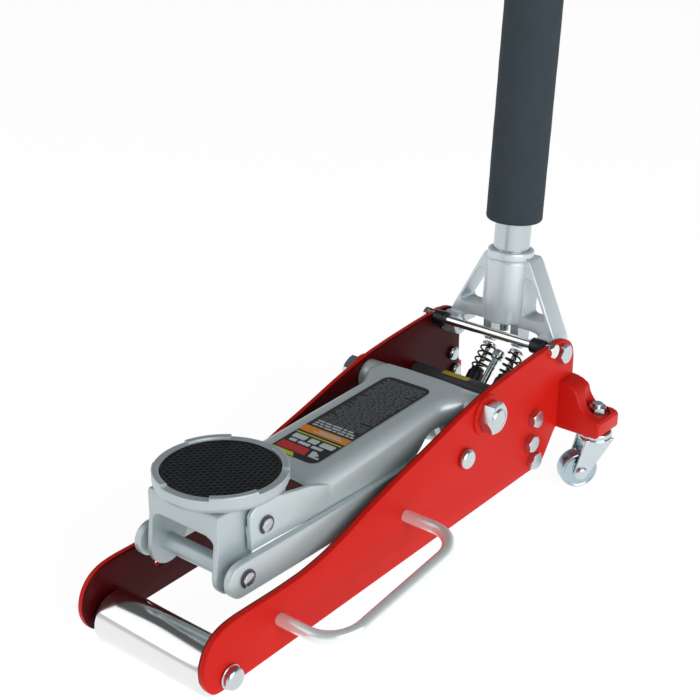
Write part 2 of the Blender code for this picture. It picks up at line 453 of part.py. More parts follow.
for side, sign in (("left", 1), ("right", -1)):
    shape = [(72.3, 59.4), (116, 59.4), (119, 62.5), (119, 75), (117, 77.6), (110, 80), (103, 83.5), (98.5, 88),
             (95.5, 93.5), (93.5, 99), (90, 104.5), (84, 107.8), (72.3, 109)]
    bracket = finish("caster_bracket_" + side, prism([(sign * x, z) for x, z in shape], "y", 462, 501), "red")
    bevel(bracket, 1.6, 2, 50)
    rear = [(487.5, 112), (487.5, 100), (494, 84), (502, 78), (512, 78), (512, 112)]
    cut(bracket, prism(rear, "x", *sorted((sign * 70, sign * 125))), "bracket_rear_" + side)
    cx, cy = sign * CASTER[0], CASTER[1]
    cut(bracket, rod((cx, cy, 77), (cx, cy, 120), 12.5, 28), "bracket_pocket_" + side)
    cut(bracket, rod((cx, cy, 50), (cx, cy, 90), 5.3, 20), "bracket_stud_" + side)
    for i, spot in enumerate(BRACKET_BOLTS):
        cut(bracket, rod((sign * 70, *spot), (sign * 86, *spot), 4.3, 16), f"bracket_bolt_{side}_{i}")
        bolt = finish(f"bracket_bolt_{side}_{i + 1}", rod((sign * 63.8, *spot), (sign * 84, *spot), 4.0, 16), "zinc",
                      (sign * 65, *spot))
        join(bolt, turned([(0, 0), (7.4, 0), (7.4, 3), (5.5, 5.2), (0, 6)], (sign * 64.7, *spot),
                          (sign * 50, *spot), 20), f"inner_head_{side}_{i}")
    king = [(0, 0), (7.5, 0), (7.5, 2.4), (5.0, 2.6), (5.0, 43), (0, 43)]
    king_ob = finish("caster_kingpin_" + side, turned(king, (cx, cy, 44.8), (cx, cy, 100), 24), "zinc",
                     (cx, cy, 44.8))
    join(king_ob, hex_head((cx, cy, 77.3), (cx, cy, 85), 9.4), "king_head_" + side)
    place = spun if sign > 0 else lambda p: (-spun(p)[0], spun(p)[1], spun(p)[2])
    wheel_at = (-CASTER_TRAIL, WHEEL_R)
    race = [(0, 0), (16.5, 0), (16.5, 5.2), (15.0, 6.3), (16.2, 7.4), (15.6, 11.5), (0, 11.5)]
    fork = finish("caster_fork_" + side, turned(race, (cx, cy, 47.6), (cx, cy, 100), 18), "zinc", (cx, cy, 50))
    for leg in (-1, 1):
        outline = [(15, 53.2)] + arc(wheel_at, 7.5, -25, -175, 5) + [(-16.5, 45), (-14.5, 53.2)]
        join(fork, prism(outline, "x", *sorted((leg * 9.8, leg * 12.4)), turn=place), f"fork_leg_{side}_{leg + 1}")
    cut(fork, prism([(-20, 40), (-20, 50.9), (20, 50.9), (20, 40)], "x", -9.3, 9.3, turn=place), "fork_hollow_" + side)
    cut(fork, rod((cx, cy, 40), (cx, cy, 60), 5.3, 20), "fork_bore_" + side)
    ends = [place((x, wheel_at[0], wheel_at[1])) for x in (-20, 20)]
    cut(fork, rod(ends[0], ends[1], 3.8, 16), "fork_axle_" + side)
    hub = place((0, *wheel_at))
    a, b = place((-8.4, *wheel_at)), place((8.4, *wheel_at))
    wheel = [(3.8, 0), (8, 0), (9, 1.4), (WHEEL_R - 3.4, 1.4), (WHEEL_R - 2.2, 0.2), (WHEEL_R, 2.4), (WHEEL_R, 14.4),
             (WHEEL_R - 2.2, 16.6), (WHEEL_R - 3.4, 15.4), (9, 15.4), (8, 16.8), (3.8, 16.8)]
    finish("caster_wheel_" + side, turned(wheel, a, b, 24), "zinc", hub)
    pin = finish("caster_axle_" + side, rod(place((-13, *wheel_at)), place((13, *wheel_at)), 3.5, 12), "zinc", hub)
    for leg in (-1, 1):
        head_shape = [(0, 0), (6.2, 0), (6.2, 1.8), (4.4, 3.4), (0, 3.8)]
        join(pin, turned(head_shape, place((leg * 12.7, *wheel_at)), place((leg * 30, *wheel_at)), 14),
             f"axle_head_{side}_{leg + 1}")
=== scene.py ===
"""Looks of the floor jack: a finer surface for every CAD piece, its materials, light and camera.
Lengths are in millimetres, counted as in the CAD from the middle of the front roller's axis and from the
floor. at() turns them into metres in the shared frame."""
import math
import random

import bmesh
import bpy
from mathutils import Matrix, Vector


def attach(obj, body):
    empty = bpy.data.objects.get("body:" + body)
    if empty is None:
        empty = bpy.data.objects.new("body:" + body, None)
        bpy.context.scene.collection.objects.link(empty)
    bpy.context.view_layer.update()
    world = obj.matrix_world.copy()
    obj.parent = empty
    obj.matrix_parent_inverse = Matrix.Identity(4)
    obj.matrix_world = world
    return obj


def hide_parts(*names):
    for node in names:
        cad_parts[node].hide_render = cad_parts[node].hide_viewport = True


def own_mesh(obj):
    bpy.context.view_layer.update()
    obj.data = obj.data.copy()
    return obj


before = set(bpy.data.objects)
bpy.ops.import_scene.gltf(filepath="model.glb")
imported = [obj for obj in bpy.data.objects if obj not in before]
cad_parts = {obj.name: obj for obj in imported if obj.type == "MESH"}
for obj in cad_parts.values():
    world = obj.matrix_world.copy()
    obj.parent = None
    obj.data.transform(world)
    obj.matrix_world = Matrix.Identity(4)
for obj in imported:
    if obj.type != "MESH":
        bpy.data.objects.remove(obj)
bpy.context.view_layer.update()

MM = 0.001
SHIFT = Vector((7.5, 264.0, 0.0))
AXLE, MAIN, LINK_BACK = (0.0, 23.0), (337.0, 120.0), (306.0, 88.5)
HEAD_UP, HEAD_LOW, TIE, YOKE = (72.0, 115.0), (41.0, 83.5), (444.6, 147.6), (463.0, 139.0)
PUMP_BOLTS = [(419, 86), (413, 62), (420, 41)]
BRACKET_BOLTS = [(474.8, 97), (480, 76)]
CARRY_FEET, CARRY_REACH, CARRY_BEND, CARRY_R = [(57.8, 45), (219.6, 67.2)], 132.4, 30.0, 5.5
LEAN, HANDLE_Y = math.radians(4.43), 471.0
SADDLE_Y, SADDLE_Z, SADDLE_R, PAD_R = 69.8, 138.0, 55.3, 48.6
PLUNGER_FACE, PLUNGER_X, DIAG = (438.0, 87.0), 16.0, math.sqrt(0.5)
CASTER, CASTER_TRAIL, CASTER_TURN, WHEEL_R = (104.0, 484.0), 17.0, math.radians(-38), 19.0
VALVE, ROD_DIR = (433.0, 90.7), (0.7495, 0.662)
SIDES = (("left", 1), ("right", -1))
PLATE_IN, PLATE_OUT, NUT_FACE = 65, 72, 72.3   # nuts and bolt heads sit 0.3 off the side plates
PIN_HOLE, PIVOT_HOLE = 6.3, 10.3               # hole radii round the 12 mm pins and the 20 mm pivot
CRANK_R, CRANK_LEAN = 50, math.radians(18.5)
RAM_Z, CAM_R, CAM_START = 72, 12.0, 3.8
SPRING_R, WIRE_R, SPRING_STEPS = 7.6, 0.95, 36
SMOOTH_ANGLE = 32.0


# ---------------------------------------------------------------- materials
def surface(name, color, metallic=0.0, rough=0.4, tone=0.06, tone_scale=28.0, grain=0.08, grain_scale=1800.0,
            edge=0.5, rough_vary=0.06, shine=0.5, inner_shade=None):
    """A painted, plated or moulded surface: clouded colour, uneven gloss, fine grain and softened edges.
    The optional (colour, half width in mm) pair paints shade between the plates: what lies within that half
    width of the middle takes the darker colour, as painted shade for the inside of the frame."""
    mat = bpy.data.materials.new(name)
    mat.use_nodes = True
    nodes, links = mat.node_tree.nodes, mat.node_tree.links
    bsdf = nodes["Principled BSDF"]
    bsdf.inputs["Metallic"].default_value = metallic
    bsdf.inputs["Specular IOR Level"].default_value = shine
    coords = nodes.new("ShaderNodeTexCoord")

    def noise(scale, detail):
        node = nodes.new("ShaderNodeTexNoise")
        node.inputs["Scale"].default_value = scale
        node.inputs["Detail"].default_value = detail
        links.new(coords.outputs["Object"], node.inputs["Vector"])
        return node.outputs["Fac"]

    def tinted(base):
        mix = nodes.new("ShaderNodeMix")
        mix.data_type = "RGBA"
        mix.inputs["A"].default_value = (*[c * (1 - tone) for c in base], 1)
        mix.inputs["B"].default_value = (*[min(1, c * (1 + tone)) for c in base], 1)
        links.new(noise(tone_scale, 4), mix.inputs["Factor"])
        return mix.outputs["Result"]

    shade = tinted(color)
    # painted shade: within the given half width of the middle, between the plates, the base colour gives way to
    # the darker colour, standing in for the shade inside the frame
    if inner_shade:
        split = nodes.new("ShaderNodeSeparateXYZ")
        links.new(coords.outputs["Object"], split.inputs["Vector"])
        centred = nodes.new("ShaderNodeMath")
        centred.operation = "ADD"
        centred.inputs[1].default_value = SHIFT.x * MM
        links.new(split.outputs["X"], centred.inputs[0])
        size = nodes.new("ShaderNodeMath")
        size.operation = "ABSOLUTE"
        links.new(centred.outputs[0], size.inputs[0])
        inside = nodes.new("ShaderNodeMapRange")
        inside.inputs["From Min"].default_value = inner_shade[1] * MM
        inside.inputs["From Max"].default_value = (inner_shade[1] + 0.8) * MM
        links.new(size.outputs[0], inside.inputs["Value"])
        both = nodes.new("ShaderNodeMix")
        both.data_type = "RGBA"
        links.new(inside.outputs["Result"], both.inputs["Factor"])
        links.new(tinted(inner_shade[0]), both.inputs["A"])
        links.new(shade, both.inputs["B"])
        shade = both.outputs["Result"]
    links.new(shade, bsdf.inputs["Base Color"])

    gloss = nodes.new("ShaderNodeMapRange")
    gloss.inputs["To Min"].default_value = max(0.02, rough - rough_vary)
    gloss.inputs["To Max"].default_value = rough + rough_vary
    links.new(noise(tone_scale * 6, 6), gloss.inputs["Value"])
    links.new(gloss.outputs["Result"], bsdf.inputs["Roughness"])

    soft = nodes.new("ShaderNodeBevel")
    soft.samples = 4
    soft.inputs["Radius"].default_value = edge * MM
    bump = nodes.new("ShaderNodeBump")
    bump.inputs["Strength"].default_value = grain
    bump.inputs["Distance"].default_value = 0.0002
    links.new(noise(grain_scale, 3), bump.inputs["Height"])
    links.new(soft.outputs["Normal"], bump.inputs["Normal"])
    links.new(bump.outputs["Normal"], bsdf.inputs["Normal"])
    return mat


# the second red is painted shade for the plates' inner faces, standing in for the shade between the plates
RED, SHADE_RED = (0.60, 0.013, 0.008), (0.055, 0.001, 0.002)
LOOK = {
    "plate": surface("red_paint", RED, 0.0, 0.36, tone=0.05, grain=0.0, shine=0.09, inner_shade=(SHADE_RED, 66.5)),
    "bracket": surface("red_paint_bracket", RED, 0.0, 0.36, tone=0.06, grain=0.08, grain_scale=700, shine=0.2,
                       edge=1.0),
    "arm": surface("silver_paint", (0.56, 0.635, 0.65), 0.35, 0.36, tone=0.04, grain=0.02, edge=1.2, shine=0.4),
    "casting": surface("silver_casting", (0.49, 0.56, 0.58), 0.42, 0.38, tone=0.07, grain=0.10, grain_scale=900,
                       edge=1.4),
    "yoke": surface("yoke_casting", (0.66, 0.735, 0.765), 0.5, 0.38, tone=0.07, grain=0.10, grain_scale=900,
                    edge=1.2),
    "roller": surface("mirror_chrome", (0.82, 0.83, 0.82), 1.0, 0.15, tone=0.02, grain=0.01, grain_scale=300,
                      rough_vary=0.02),
    "fastener": surface("bright_zinc", (0.60, 0.66, 0.69), 1.0, 0.24, tone=0.10, grain=0.04, edge=0.4),
    "chromed": surface("polished_rod", (0.84, 0.84, 0.83), 1.0, 0.10, tone=0.04, grain=0.01, rough_vary=0.02),
    "pump": surface("pump_casting", (0.085, 0.085, 0.088), 0.3, 0.55, tone=0.2, grain=0.35, grain_scale=500,
                    edge=1.0),
    "clip": surface("clip_steel", (0.075, 0.078, 0.082), 0.6, 0.36, tone=0.2, grain=0.05, edge=0.2),
    "black": surface("black_oxide", (0.010, 0.010, 0.012), 0.2, 0.38, tone=0.2, grain=0.08, edge=0.3,
                     shine=0.4),
    "tube": surface("silver_tube", (0.54, 0.61, 0.63), 0.75, 0.28, tone=0.03, tone_scale=12, grain=0.02,
                    rough_vary=0.02),
    "rod": surface("bent_rod", (0.88, 0.93, 0.93), 0.5, 0.30, tone=0.05, tone_scale=12, grain=0.02,
                   rough_vary=0.03),
    "rubber": surface("pad_rubber", (0.0045, 0.006, 0.0085), 0.0, 0.42, tone=0.25, grain=0.12, grain_scale=900,
                      rough_vary=0.1, shine=0.3),
    "plastic": surface("black_sleeve", (0.009, 0.009, 0.010), 0.0, 0.34, tone=0.2, grain=0.05, shine=0.4),
    "foam": surface("foam", (0.036, 0.050, 0.060), 0.0, 0.8, tone=0.10, tone_scale=60, grain=0.4,
                    grain_scale=2200, shine=0.2),
    "grip": surface("grip_rubber", (0.012, 0.012, 0.013), 0.0, 0.55, tone=0.2, grain=0.2, shine=0.3),
    "caster": surface("caster_zinc", (0.62, 0.69, 0.72), 1.0, 0.24, tone=0.10, grain=0.06, edge=0.5),
    "wheel": surface("wheel_steel", (0.44, 0.54, 0.60), 1.0, 0.22, tone=0.10, grain=0.05, edge=0.8),
    "label": surface("label_ink", (0.014, 0.018, 0.020), 0.0, 0.40, tone=0.10, grain=0.02, shine=0.4),
    "label_pale": surface("label_pale", (0.55, 0.60, 0.61), 0.0, 0.4, tone=0.06, grain=0.02, shine=0.3),
    "label_line": surface("label_line", (0.17, 0.185, 0.19), 0.0, 0.4, tone=0.3, tone_scale=400, grain=0.02,
                          shine=0.3),
    "label_orange": surface("label_orange", (0.72, 0.25, 0.02), 0.0, 0.38, tone=0.10, grain=0.02, shine=0.3),
    "label_red": surface("label_red", (0.55, 0.03, 0.03), 0.0, 0.38, tone=0.06, grain=0.02, shine=0.3),
    "label_yellow": surface("label_yellow", (0.50, 0.58, 0.04), 0.0, 0.38, tone=0.10, grain=0.02, shine=0.3),
    "sticker": surface("pump_sticker", (0.62, 0.42, 0.03), 0.0, 0.42, tone=0.12, grain=0.02, shine=0.3),
}


# ---------------------------------------------------------------- shapes
def at(x, y, z):
    return (Vector((x, y, z)) - SHIFT) * MM


def make(name, bm, look, smooth=SMOOTH_ANGLE):
    bmesh.ops.remove_doubles(bm, verts=bm.verts, dist=0.000008)
    bmesh.ops.recalc_face_normals(bm, faces=bm.faces)
    mesh = bpy.data.meshes.new(name)
    bm.to_mesh(mesh)
    bm.free()
    ob = bpy.data.objects.new(name, mesh)
    bpy.context.scene.collection.objects.link(ob)
    mesh.materials.append(LOOK[look])
    mesh.shade_smooth()
    mesh.set_sharp_from_angle(angle=math.radians(smooth))
    return ob


def settle(ob):
    """Applies the object's modifiers."""
    graph = bpy.context.evaluated_depsgraph_get()
    mesh = bpy.data.meshes.new_from_object(ob.evaluated_get(graph))
    ob.modifiers.clear()
    ob.data = mesh
    mesh.shade_smooth()
    mesh.set_sharp_from_angle(angle=math.radians(SMOOTH_ANGLE))
    return ob


def boolean(ob, tool, operation):
    step = ob.modifiers.new("shape", "BOOLEAN")
    step.operation, step.solver, step.object = operation, "EXACT", tool
    settle(ob)
    bpy.data.objects.remove(tool, do_unlink=True)
    return ob


def cut(ob, bm):
    return boolean(ob, make("tool", bm, "black"), "DIFFERENCE")


def join(ob, bm, rounded=0.0):
    tool = make("tool", bm, "black")
    tool.data.materials[0] = ob.data.materials[0]
    if rounded:
        bevel(tool, rounded)
    return boolean(ob, tool, "UNION")


def bevel(ob, width, segments=3, angle=35.0):
    step = ob.modifiers.new("edges", "BEVEL")
    step.width, step.segments, step.limit_method = width * MM, segments, "ANGLE"
    step.angle_limit = math.radians(angle)
    step.use_clamp_overlap = True
    return settle(ob)


def prism(points, axis, low, high, turn=None):
    """Extrude a closed outline. axis x takes (y, z) points, y takes (x, z), z takes (x, y)."""
    bm = bmesh.new()
    order = {"x": lambda p, h: (h, p[0], p[1]), "y": lambda p, h: (p[0], h, p[1]),
             "z": lambda p, h: (p[0], p[1], h)}[axis]
    spin = turn or (lambda v: v)
    base = bm.faces.new([bm.verts.new(at(*spin(order(p, low)))) for p in points])
    grown = bmesh.ops.extrude_face_region(bm, geom=[base], use_keep_orig=True)
    top = [item for item in grown["geom"] if isinstance(item, bmesh.types.BMVert)]
    rise = at(*spin(order(points[0], high))) - at(*spin(order(points[0], low)))
    bmesh.ops.translate(bm, verts=top, vec=rise)
    return bm


def turned(profile, start, toward, steps=72, phase=0.0):
    """Spin (radius, distance) points about the line from start towards `toward`."""
    bm = bmesh.new()
    a, b = at(*start), at(*toward)
    axis = (b - a).normalized()
    side = Vector((0, 0, 1)) if abs(axis.x) > 0.9 else axis.orthogonal().normalized()
    side = Matrix.Rotation(2 * math.pi * phase / steps, 3, axis) @ side
    line = [bm.verts.new(a + (side * radius + axis * along) * MM) for radius, along in profile]
    edges = [bm.edges.new(pair) for pair in zip(line, line[1:])]
    if profile[0][0] > 0:
        edges.append(bm.edges.new((line[-1], line[0])))
    bmesh.ops.spin(bm, geom=line + edges, cent=a, axis=axis, angle=2 * math.pi, steps=steps, use_merge=True)
    return bm


def soften(profile, radius=0.8, passes=2):
    """Round the corners of an open (radius, distance) profile, keeping its ends."""
    for _ in range(passes):
        out = [profile[0]]
        for a, b in zip(profile, profile[1:]):
            length = math.dist(a, b)
            if length < 1e-6:
                continue
            t = min(0.25, radius / length)
            near = (a[0] + (b[0] - a[0]) * t, a[1] + (b[1] - a[1]) * t)
            far = (b[0] + (a[0] - b[0]) * t, b[1] + (a[1] - b[1]) * t)
            out += [near, far]
        out.append(profile[-1])
        profile = out
        radius /= 2
    return profile


def rounded(points, radius, passes=3):
    """Cut the corners of a closed outline, no deeper than `radius`."""
    for _ in range(passes):
        out = []
        for a, b in zip(points, points[1:] + points[:1]):
            t = min(0.25, radius / max(math.dist(a, b), 1e-6))
            out += [(a[0] + (b[0] - a[0]) * t, a[1] + (b[1] - a[1]) * t),
                    (b[0] + (a[0] - b[0]) * t, b[1] + (a[1] - b[1]) * t)]
        points = out
        radius /= 2.2
    return points


def rod(start, end, radius, steps=48, chamfer=0.0, phase=0.37):
    length = math.dist(start, end)
    profile = [(0, 0), (radius, 0), (radius, length), (0, length)]
    if chamfer:
        profile = [(0, 0), (radius - chamfer, 0), (radius - 0.3 * chamfer, 0.3 * chamfer), (radius, chamfer),
                   (radius, length - chamfer), (radius - 0.3 * chamfer, length - 0.3 * chamfer),
                   (radius - chamfer, length), (0, length)]
    return turned(profile, start, end, steps, phase)


def tube_path(points, radius, sides=20):
    """A round bar along a path, each ring square to it."""
    bm = bmesh.new()
    spots = [at(*p) for p in points]
    rings = []
    normal = None
    for i, spot in enumerate(spots):
        along = (spots[min(i + 1, len(spots) - 1)] - spots[max(i - 1, 0)]).normalized()
        if normal is None:
            normal = along.orthogonal().normalized()
        normal = (normal - along * normal.dot(along)).normalized()
        other = along.cross(normal)
        rings.append([bm.verts.new(spot + (normal * math.cos(2 * math.pi * k / sides)
                                           + other * math.sin(2 * math.pi * k / sides)) * radius * MM)
                      for k in range(sides)])
    for low, high in zip(rings, rings[1:]):
        for k in range(sides):
            j = (k + 1) % sides
            bm.faces.new((low[k], low[j], high[j], high[k]))
    bm.faces.new(rings[0][::-1])
    bm.faces.new(rings[-1])
    return bm


def arc(centre, radius, first, last, count):
    return [(centre[0] + radius * math.cos(math.radians(first + (last - first) * i / count)),
             centre[1] + radius * math.sin(math.radians(first + (last - first) * i / count)))
            for i in range(count + 1)]


def capsule(a, b, ra, rb, count=24):
    heading = math.degrees(math.atan2(b[1] - a[1], b[0] - a[0]))
    tilt = math.degrees(math.acos((ra - rb) / math.dist(a, b)))
    return (arc(a, ra, heading + tilt, heading + 360 - tilt, count)
            + arc(b, rb, heading - tilt, heading + tilt, count))


def mirrored(points):
    return list(points) + [(-x, z) for x, z in reversed(points) if abs(x) > 1e-6]


def lean(point):
    x, y, z = point
    dy, dz = y - YOKE[0], z - YOKE[1]
    return (x, YOKE[0] + dy * math.cos(LEAN) + dz * math.sin(LEAN), YOKE[1] - dy * math.sin(LEAN)
            + dz * math.cos(LEAN))


def on_handle(z):
    return lean((0, HANDLE_Y, z))


def hexagon(start, end, radius, phase=0.0):
    """Forged hexagon whose corners are rounded off on the outer face."""
    length = math.dist(start, end)
    shape = make("hex", turned([(0, 0), (radius, 0), (radius, length), (0, length)], start, end, 6, phase),
                 "black")
    flat = radius * 0.866
    dome = soften([(0, -1), (radius + 1, -1), (radius + 1, length - 2.6), (flat + 0.3, length - 0.05),
                   (flat - 0.8, length), (0, length)], 0.8)
    tool = make("dome", turned(dome, start, end, 48), "black")
    boolean(shape, tool, "INTERSECT")
    bm = bmesh.new()
    bm.from_mesh(shape.data)
    bpy.data.objects.remove(shape, do_unlink=True)
    return bm


def add(name, ob, body, *nodes, slot=None):
    ob.name = name
    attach(ob, body)
    if nodes:
        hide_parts(*nodes)
    return ob


# ---------------------------------------------------------------- side plates
NOSE_TO_LOBE = [(-14, 13), (-21, 17), (-26, 26), (-28, 36), (-26, 47), (-21.5, 56), (-14.5, 63), (-4, 68),
                (10, 70), (60, 70.3), (90, 71.8), (115, 76), (140, 83), (165, 92), (192, 100.5), (215, 107.5),
                (240, 114), (265, 121), (290, 128.5), (315, 135), (345, 141.5), (380, 146), (420, 150),
                (455, 152.5), (468, 151.5), (478, 147.5), (485, 140), (488, 130), (488, 66), (484, 61.5),
                (463, 60.5), (459, 58), (442, 34), (437, 30.5), (428, 29)]
for side, sign in SIDES:
    plate = bevel(make("p", prism(rounded(NOSE_TO_LOBE, 4.0), "x",
                                  *sorted((sign * PLATE_IN, sign * PLATE_OUT))), "plate"), 1.3, 4, 60)
    boss = soften([(0, 0), (19.5, 0), (19.5, 2), (18.5, 3), (0, 3)], 0.6)
    join(plate, turned(boss, (sign * 71.5, *MAIN), (sign * 90, *MAIN), 72))
    holes = [(AXLE, PIN_HOLE), (MAIN, PIVOT_HOLE), (LINK_BACK, PIN_HOLE), (TIE, 4.8), (YOKE, PIN_HOLE)]
    holes += [(p, 5.3) for p in PUMP_BOLTS] + [(p, 4.3) for p in BRACKET_BOLTS] + [(p, 5.8) for p in CARRY_FEET]
    for spot, radius in holes:
        cut(plate, rod((sign * 60, *spot), (sign * 80, *spot), radius, 28))
    add("vis_side_plate_" + side, plate, "frame", "side_plate_" + side, slot="plate")

# ---------------------------------------------------------------- roller, axle and main pivot
shell = soften([(6.5, 0), (21.2, 0), (23, 1.8), (23, 118.2), (21.2, 120), (6.5, 120)], 0.7)
add("vis_front_roller", make("r", turned(shell, (-60, *AXLE), (60, *AXLE), 128), "roller"), "roller",
    "front_roller", slot="roller")
axle = make("a", rod((-82, *AXLE), (73.5, *AXLE), 6.0, 40, 0.8), "fastener")
join(axle, turned(soften([(0, 0), (10.5, 0), (10.5, 1.6), (9.6, 1.7), (9.6, 5.5), (8.2, 7.4), (5, 8.4),
                          (0, 8.8)], 0.5),
                  (NUT_FACE, *AXLE), (90, *AXLE), 64))
add("vis_front_axle_bolt", axle, "frame", "front_axle_bolt", slot="fastener")


def add_nut(name, body, spot, near, far, radius, hole):
    ob = make("n", hexagon((near, *spot), (far, *spot), radius), "fastener")
    cut(ob, rod((near - 20, *spot), (near + 20, *spot), hole, 32))
    add("vis_" + name, ob, body, name, slot="fastener")


add_nut("front_axle_nut", "frame", AXLE, -NUT_FACE, -80.3, 10.2, PIN_HOLE)
add_nut("main_pivot_nut", "frame", MAIN, -74.9, -86.5, 15.6, PIVOT_HOLE)
shaft = make("s", rod((-90, *MAIN), (76, *MAIN), 10.0, 48, 1.2), "fastener")
join(shaft, hexagon((74.9, *MAIN), (86.5, *MAIN), 15.6, 0.5))
join(shaft, turned(soften([(0, 0), (10.4, 0), (9.4, 2.0), (7.5, 2.9), (0, 3.1)], 0.6), (85.6, *MAIN),
                   (100, *MAIN), 56))
add("vis_main_pivot_bolt", shaft, "frame", "main_pivot_bolt", slot="fastener")

# ---------------------------------------------------------------- lifting arm
WIDE = [(0, 46), (296, 46), (303, 46.6), (309, 49), (315, 53), (321, 56.8), (327, 58.6), (332, 58.4),
        (337, 56.2), (340, 54)]
FOOT = [(0, 98.4), (54, 98.4), (80, 98), (110, 96.6), (150, 94.5), (200, 93.6), (258, 93.6), (266, 96),
        (274, 102), (281, 109), (288, 113), (400, 113)]


def along(table, y):
    return next(a[1] + (b[1] - a[1]) * (y - a[0]) / (b[0] - a[0]) for a,
                b in zip(table, table[1:]) if a[0] <= y <= b[0])


def arm_top(y):
    return 119.4 + 0.055 * y


def arm_section(y):
    top, half, low = arm_top(y), along(WIDE, y), along(FOOT, y)
    left = [(half, low), (half, (low + top - 13) / 2), (half, top - 13)]
    left += [(half - 13 + 13 * math.cos(a), top - 13 + 12.2 * math.sin(a))
             for a in [math.radians(9 * k) for k in range(1, 10)]]
    left += [((half - 13) * (1 - k / 4), top - 0.8 + 0.8 * min(1, k / 2)) for k in range(1, 4)]
    return [(x, y, z) for x, z in left] + [(0, y, top)] + [(-x, y, z) for x, z in reversed(left)]


stations = [54.5 + (340 - 54.5) * k / 96 for k in range(97)]
bm = bmesh.new()
rows = [[bm.verts.new(at(*p)) for p in arm_section(y)] for y in stations]
for back, front in zip(rows, rows[1:]):
    for i in range(len(back) - 1):
        bm.faces.new((back[i], back[i + 1], front[i + 1], front[i]))
arm = make("arm", bm, "arm")
skin = arm.modifiers.new("wall", "SOLIDIFY")
skin.thickness, skin.offset, skin.use_even_offset = 4.5 * MM, -1.0, True
settle(arm)
mouth = rounded([(-40.5, 20), (40.5, 20), (40.5, 126), (34, 131), (-34, 131), (-40.5, 126)], 5)
cut(arm, prism(mouth, "z", 100, 150))
join(arm, rod((-64.5, *MAIN), (64.5, *MAIN), 16.0, 64))
for sign in (-1, 1):
    cheek = [(54.6, 100)] + arc(HEAD_UP, 22.2, 142, 78, 16)
    cheek += [(90, 133.9), (98, 132), (112, 129.2), (126, 126.5), (150, 118), (150, 100)]
    join(arm, prism(cheek, "x", *sorted((sign * 41.7, sign * 46.1))), 1.2)
crank = (MAIN[0] + CRANK_R * math.sin(CRANK_LEAN), MAIN[1] - CRANK_R * math.cos(CRANK_LEAN))
for sign in (-1, 1):
    join(arm, prism(capsule(MAIN, crank, 17, 10.5), "x", *sorted((sign * 17, sign * 25))), 0.8)
    cut(arm, rod((sign * 30, *HEAD_UP), (sign * 55, *HEAD_UP), PIN_HOLE, 32))
join(arm, rod((-27, *crank), (27, *crank), 6.5, 32, 1.0))
cut(arm, rod((-80, *MAIN), (80, *MAIN), PIVOT_HOLE, 48))
add("vis_lift_arm", arm, "arm", "lift_arm", slot="arm")

# ---------------------------------------------------------------- generic label on the arm
def label_top(y):
    return arm_top(y) + 0.06


def patch(name, outlines, look, lift, thick=0.08):
    """Thin printed areas of one colour, as one piece lying on the arm's sloping top."""
    bm = bmesh.new()
    for outline in outlines:
        base = bm.faces.new([bm.verts.new(at(x, y, label_top(y) + lift)) for x, y in outline])
        grown = bmesh.ops.extrude_face_region(bm, geom=[base], use_keep_orig=True)
        top = [v for v in grown["geom"] if isinstance(v, bmesh.types.BMVert)]
        bmesh.ops.translate(bm, verts=top, vec=(0, 0, thick * MM))
    return add(name, make(name, bm, look), "arm")


def bar(x0, x1, y0, y1):
    return [(x0, y0), (x1, y0), (x1, y1), (x0, y1)]


patch("label_base", [rounded(bar(-26.5, 26.2, 152.5, 318.0), 5, 4)], "label", 0.0, 0.12)
patch("label_yellow", [[(-25, 153.3), (2, 153.3), (-2, 158.5), (-25, 158.5)], bar(-25.5, 25.2, 188.2, 189.9)],
      "label_yellow", 0.13)
patch("label_red", [[(-24, 160), (9, 160), (6, 170.5), (-24, 170.5)]], "label_red", 0.13)
patch("label_orange", [bar(-26.3, 26.0, 192.6, 202.5)], "label_orange", 0.13)
patch("label_band_bars", [rounded(bar(*box), 0.8, 2) for box in ((-12, 20, 195.5, 197), (-8, 16, 198.5, 200))],
      "label_pale", 0.22)
pale = [[(12, 160.5), (23, 160.5), (23, 163), (17, 163), (20, 166), (14, 170), (10, 170)]]
pale += [rounded(bar(*box), 0.8, 2) for box in ((-21, -13, 173, 177), (-11, 2, 173, 177), (4, 16, 173, 177),
                                                (-23, -8, 179, 186), (-5, 5, 179, 186), (8, 23, 179, 186))]
fine = []
random.seed(7)
y = 205.5
while y < 312:
    big = y < 216
    x = -22 + (0 if big else random.choice((0, 0, 3, 7)))
    while x < 23:
        end = min(x + random.uniform(3.5, 11), 24)
        if end - x > 1.2:
            (pale if big else fine).append(bar(x, end, y, y + (2.1 if big else 1.15)))
        x = end + 1.3
        if x > 12 and random.random() < 0.18:
            break
    y += 3.8 if big else 2.75
patch("label_blocks", pale, "label_pale", 0.13)
patch("label_fine_rows", fine, "label_line", 0.13)

